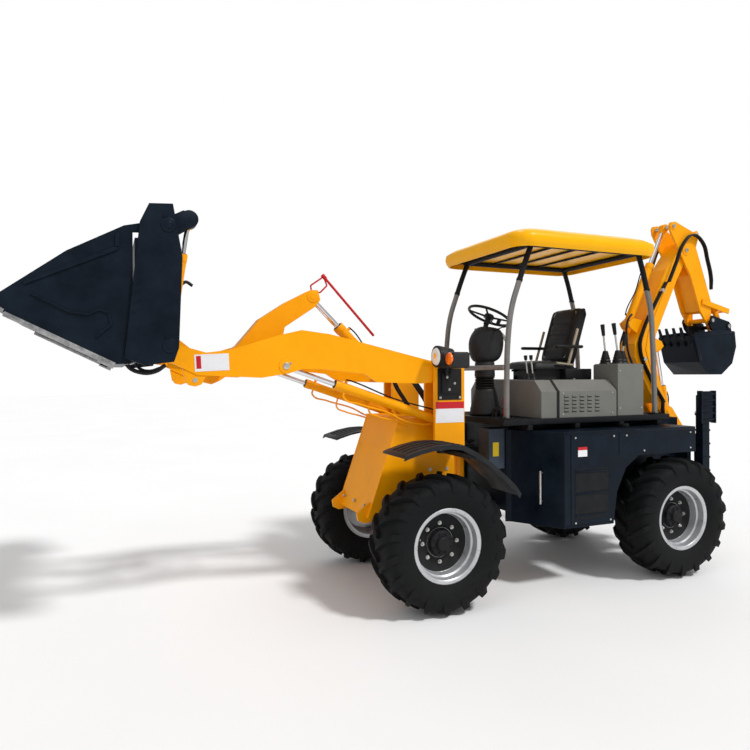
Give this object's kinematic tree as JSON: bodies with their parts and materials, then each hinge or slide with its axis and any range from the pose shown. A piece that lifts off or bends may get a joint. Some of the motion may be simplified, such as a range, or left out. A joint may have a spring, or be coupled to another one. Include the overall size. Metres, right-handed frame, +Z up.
{
  "type": "backhoe loader",
  "caption": "Compact articulated backhoe loader: 4-in-1 front bucket on a Z-bar loader arm, open canopy station, rear swing backhoe with stabilisers.",
  "frame": {"origin": "middle of the machine's bounding box, at ground level", "axes": "+X to the rear (the backhoe end), -Y the machine's left side, +Z up"},
  "size_m": [6.91, 1.92, 3.4],
  "materials": {
    "tyre": "matte",
    "rim_paint": "satin",
    "rod_chrome": "polished",
    "navy_paint": "satin",
    "battery_blue": "satin",
    "grey_paint": "satin",
    "dark_plastic": "matte",
    "seat_vinyl": "satin",
    "post_paint": "satin",
    "canopy_paint": "gloss",
    "black_paint": "satin",
    "lamp_plastic": "gloss",
    "yellow_paint": "gloss"
  },
  "bodies": {
    "rear_frame": {"rear_frame": "navy_paint", "engine_block": "grey_paint", "side_tank_left": "navy_paint", "side_tank_right": "navy_paint", "battery_box": "battery_blue", "platform": "grey_paint", "engine_cover": "grey_paint", "console_tower": "grey_paint", "dash_column": "dark_plastic", "seat_base": "black_paint", "seat": "seat_vinyl", "canopy_frame": "post_paint", "canopy_roof": "canopy_paint", "rear_axle": "black_paint", "backhoe_frame": "navy_paint"},
    "front_frame": {"front_frame": "yellow_paint", "front_axle": "black_paint", "fender_left": "black_paint", "fender_right": "black_paint", "headlight_left": "lamp_plastic", "headlight_right": "lamp_plastic"},
    "steering_wheel": {"steering_wheel": "black_paint"},
    "loader_arm": {"loader_arm": "yellow_paint"},
    "bucket": {"bucket_back": "navy_paint"},
    "clam": {"bucket_clam": "navy_paint"},
    "rocker": {"rocker": "yellow_paint"},
    "tilt_link": {"tilt_link": "yellow_paint"},
    "swing_post": {"swing_post": "yellow_paint"},
    "boom": {"boom": "yellow_paint"},
    "dipper": {"dipper": "yellow_paint"},
    "hoe_bucket": {"hoe_bucket": "navy_paint"},
    "hoe_guide": {"hoe_guide": "yellow_paint"},
    "hoe_link": {"hoe_link": "yellow_paint"},
    "wheel_front_left": {"tyre_front_left": "tyre", "rim_front_left": "rim_paint"},
    "wheel_front_right": {"tyre_front_right": "tyre", "rim_front_right": "rim_paint"},
    "wheel_rear_left": {"tyre_rear_left": "tyre", "rim_rear_left": "rim_paint"},
    "wheel_rear_right": {"tyre_rear_right": "tyre", "rim_rear_right": "rim_paint"},
    "stabiliser_left": {"stabiliser_left": "navy_paint"},
    "stabiliser_right": {"stabiliser_right": "navy_paint"},
    "lift_left_barrel": {"lift_left_barrel": "yellow_paint"},
    "lift_left_rod": {"lift_left_rod": "rod_chrome"},
    "lift_right_barrel": {"lift_right_barrel": "yellow_paint"},
    "lift_right_rod": {"lift_right_rod": "rod_chrome"},
    "clam_left_barrel": {"clam_left_barrel": "yellow_paint"},
    "clam_left_rod": {"clam_left_rod": "rod_chrome"},
    "clam_right_barrel": {"clam_right_barrel": "yellow_paint"},
    "clam_right_rod": {"clam_right_rod": "rod_chrome"},
    "tilt_barrel": {"tilt_barrel": "yellow_paint"},
    "tilt_rod": {"tilt_rod": "rod_chrome"},
    "boom_barrel": {"boom_barrel": "yellow_paint"},
    "boom_rod": {"boom_rod": "rod_chrome"},
    "dipper_barrel": {"dipper_barrel": "yellow_paint"},
    "dipper_rod": {"dipper_rod": "rod_chrome"},
    "hoe_barrel": {"hoe_barrel": "yellow_paint"},
    "hoe_rod": {"hoe_rod": "rod_chrome"}
  },
  "joints": [
    {"name": "spin_front_left", "type": "hinge", "parent": "front_frame", "child": "wheel_front_left", "pos_m": [-0.465, -0.755, 0.53], "axis": [0, 1, 0], "continuous": true},
    {"name": "spin_front_right", "type": "hinge", "parent": "front_frame", "child": "wheel_front_right", "pos_m": [-0.465, 0.755, 0.53], "axis": [0, 1, 0], "continuous": true},
    {"name": "spin_rear_left", "type": "hinge", "parent": "rear_frame", "child": "wheel_rear_left", "pos_m": [1.908, -0.755, 0.53], "axis": [0, 1, 0], "continuous": true},
    {"name": "spin_rear_right", "type": "hinge", "parent": "rear_frame", "child": "wheel_rear_right", "pos_m": [1.908, 0.755, 0.53], "axis": [0, 1, 0], "continuous": true},
    {"name": "articulation", "type": "hinge", "parent": "rear_frame", "child": "front_frame", "pos_m": [0.135, 0, 0.53], "axis": [0, 0, 1], "range_deg": [-25, 25]},
    {"name": "steering", "type": "hinge", "parent": "rear_frame", "child": "steering_wheel", "pos_m": [0.475, 0, 2.33], "axis": [0.4226, 0, 0.9063], "continuous": true},
    {"name": "lift", "type": "hinge", "parent": "front_frame", "child": "loader_arm", "pos_m": [-0.265, 0, 1.84], "axis": [0, 1, 0], "range_deg": [-40, 38]},
    {"name": "bucket_tilt", "type": "hinge", "parent": "loader_arm", "child": "bucket", "pos_m": [-2.425, 0, 1.98], "axis": [0, 1, 0], "range_deg": [-95, 25]},
    {"name": "clam_open", "type": "hinge", "parent": "bucket", "child": "clam", "pos_m": [-2.458, 0, 2.752], "axis": [0, 1, 0], "range_deg": [0, 50]},
    {"name": "swing", "type": "hinge", "parent": "rear_frame", "child": "swing_post", "pos_m": [2.635, 0, 0.9], "axis": [0, 0, 1], "range_deg": [-85, 85]},
    {"name": "boom_lower", "type": "hinge", "parent": "swing_post", "child": "boom", "pos_m": [2.555, 0, 1.42], "axis": [0, 1, 0], "range_deg": [0, 65]},
    {"name": "dipper_crowd", "type": "hinge", "parent": "boom", "child": "dipper", "pos_m": [2.835, 0, 3.11], "axis": [0, 1, 0], "range_deg": [-75, 8]},
    {"name": "hoe_bucket_curl", "type": "hinge", "parent": "dipper", "child": "hoe_bucket", "pos_m": [3.155, 0, 2.38], "axis": [0, 1, 0], "range_deg": [-70, 10]},
    {"name": "stabiliser_left_fold", "type": "hinge", "parent": "rear_frame", "child": "stabiliser_left", "pos_m": [2.575, -0.56, 0.72], "axis": [1, 0, 0], "range_deg": [0, 110]},
    {"name": "stabiliser_right_fold", "type": "hinge", "parent": "rear_frame", "child": "stabiliser_right", "pos_m": [2.575, 0.56, 0.72], "axis": [-1, 0, 0], "range_deg": [0, 110]},
    {"name": "rocker_turn", "type": "hinge", "parent": "loader_arm", "child": "rocker", "pos_m": [-1.584, 0, 1.92], "axis": [0, 1, 0], "range_deg": [-6.59, 23.63]},
    {"name": "tilt_link_turn", "type": "hinge", "parent": "rocker", "child": "tilt_link", "pos_m": [-2.073, 0, 1.83], "axis": [0, 1, 0], "range_deg": [-76.74, 20.56]},
    {"name": "hoe_guide_turn", "type": "hinge", "parent": "dipper", "child": "hoe_guide", "pos_m": [3.084, 0, 2.57], "axis": [0, 1, 0], "range_deg": [-70.5, 10.5]},
    {"name": "hoe_link_turn", "type": "hinge", "parent": "hoe_guide", "child": "hoe_link", "pos_m": [3.328, 0, 2.512], "axis": [0, 1, 0], "range_deg": [-10.5, 70.5]},
    {"name": "lift_left_barrel_turn", "type": "hinge", "parent": "front_frame", "child": "lift_left_barrel", "pos_m": [-0.185, -0.4, 1.4], "axis": [0, 1, 0], "range_deg": [-35.33, 33.59]},
    {"name": "lift_left_rod_slide", "type": "slide", "parent": "lift_left_barrel", "child": "lift_left_rod", "axis": [-0.9459, 0, 0.3243], "range_m": [-0.2692, 0.2558]},
    {"name": "clam_left_barrel_turn", "type": "hinge", "parent": "bucket", "child": "clam_left_barrel", "pos_m": [-2.45, -0.84, 2], "axis": [0, 1, 0], "range_deg": [0, 2.73]},
    {"name": "clam_left_rod_slide", "type": "slide", "parent": "clam_left_barrel", "child": "clam_left_rod", "axis": [0.1525, 0, 0.9883], "range_m": [-0.122, 0]},
    {"name": "lift_right_barrel_turn", "type": "hinge", "parent": "front_frame", "child": "lift_right_barrel", "pos_m": [-0.185, 0.4, 1.4], "axis": [0, 1, 0], "range_deg": [-35.33, 33.59]},
    {"name": "lift_right_rod_slide", "type": "slide", "parent": "lift_right_barrel", "child": "lift_right_rod", "axis": [-0.9459, 0, 0.3243], "range_m": [-0.2692, 0.2558]},
    {"name": "clam_right_barrel_turn", "type": "hinge", "parent": "bucket", "child": "clam_right_barrel", "pos_m": [-2.45, 0.84, 2], "axis": [0, 1, 0], "range_deg": [0, 2.73]},
    {"name": "clam_right_rod_slide", "type": "slide", "parent": "clam_right_barrel", "child": "clam_right_rod", "axis": [0.1525, 0, 0.9883], "range_m": [-0.122, 0]},
    {"name": "tilt_barrel_turn", "type": "hinge", "parent": "loader_arm", "child": "tilt_barrel", "pos_m": [-0.585, 0, 1.8], "axis": [0, 1, 0], "range_deg": [-0.85, 1.84]},
    {"name": "tilt_rod_slide", "type": "slide", "parent": "tilt_barrel", "child": "tilt_rod", "axis": [-0.7119, 0, 0.7023], "range_m": [-0.2549, 0.0685]},
    {"name": "boom_barrel_turn", "type": "hinge", "parent": "swing_post", "child": "boom_barrel", "pos_m": [2.71, 0, 1.212], "axis": [0, 1, 0], "range_deg": [0, 51.62]},
    {"name": "boom_rod_slide", "type": "slide", "parent": "boom_barrel", "child": "boom_rod", "axis": [-0.1934, 0, 0.9811], "range_m": [-0.2033, 0]},
    {"name": "dipper_barrel_turn", "type": "hinge", "parent": "boom", "child": "dipper_barrel", "pos_m": [2.155, 0, 2.33], "axis": [0, 1, 0], "range_deg": [-0.59, 1.38]},
    {"name": "dipper_rod_slide", "type": "slide", "parent": "dipper_barrel", "child": "dipper_rod", "axis": [0.4402, 0, 0.8979], "range_m": [-0.3735, 0.0416]},
    {"name": "hoe_barrel_turn", "type": "hinge", "parent": "dipper", "child": "hoe_barrel", "pos_m": [2.975, 0, 3.28], "axis": [0, 1, 0], "range_deg": [-5.64, 1.23]},
    {"name": "hoe_rod_slide", "type": "slide", "parent": "hoe_barrel", "child": "hoe_rod", "axis": [0.4176, 0, -0.9086], "range_m": [-0.2867, 0.0427]}
  ],
  "couplings": [
    {"joint": "rocker_turn", "follows": "bucket_tilt", "ratio": -0.2435},
    {"joint": "tilt_link_turn", "follows": "bucket_tilt", "ratio": 0.8025},
    {"joint": "hoe_guide_turn", "follows": "hoe_bucket_curl", "ratio": 1},
    {"joint": "hoe_link_turn", "follows": "hoe_bucket_curl", "ratio": -1},
    {"joint": "lift_left_barrel_turn", "follows": "lift", "ratio": 0.8708},
    {"joint": "lift_left_rod_slide", "follows": "lift", "m_per_rad": 0.3827},
    {"joint": "clam_left_barrel_turn", "follows": "clam_open", "ratio": 0.0446},
    {"joint": "clam_left_rod_slide", "follows": "clam_open", "m_per_rad": -0.1375},
    {"joint": "lift_right_barrel_turn", "follows": "lift", "ratio": 0.8708},
    {"joint": "lift_right_rod_slide", "follows": "lift", "m_per_rad": 0.3827},
    {"joint": "clam_right_barrel_turn", "follows": "clam_open", "ratio": 0.0446},
    {"joint": "clam_right_rod_slide", "follows": "clam_open", "m_per_rad": -0.1375},
    {"joint": "tilt_barrel_turn", "follows": "bucket_tilt", "ratio": -0.0141},
    {"joint": "tilt_rod_slide", "follows": "bucket_tilt", "m_per_rad": 0.1525},
    {"joint": "boom_barrel_turn", "follows": "boom_lower", "ratio": 0.7865},
    {"joint": "boom_rod_slide", "follows": "boom_lower", "m_per_rad": -0.1774},
    {"joint": "dipper_barrel_turn", "follows": "dipper_crowd", "ratio": -0.0117},
    {"joint": "dipper_rod_slide", "follows": "dipper_crowd", "m_per_rad": 0.2838},
    {"joint": "hoe_barrel_turn", "follows": "hoe_bucket_curl", "ratio": 0.0734},
    {"joint": "hoe_rod_slide", "follows": "hoe_bucket_curl", "m_per_rad": 0.233}
  ]
}
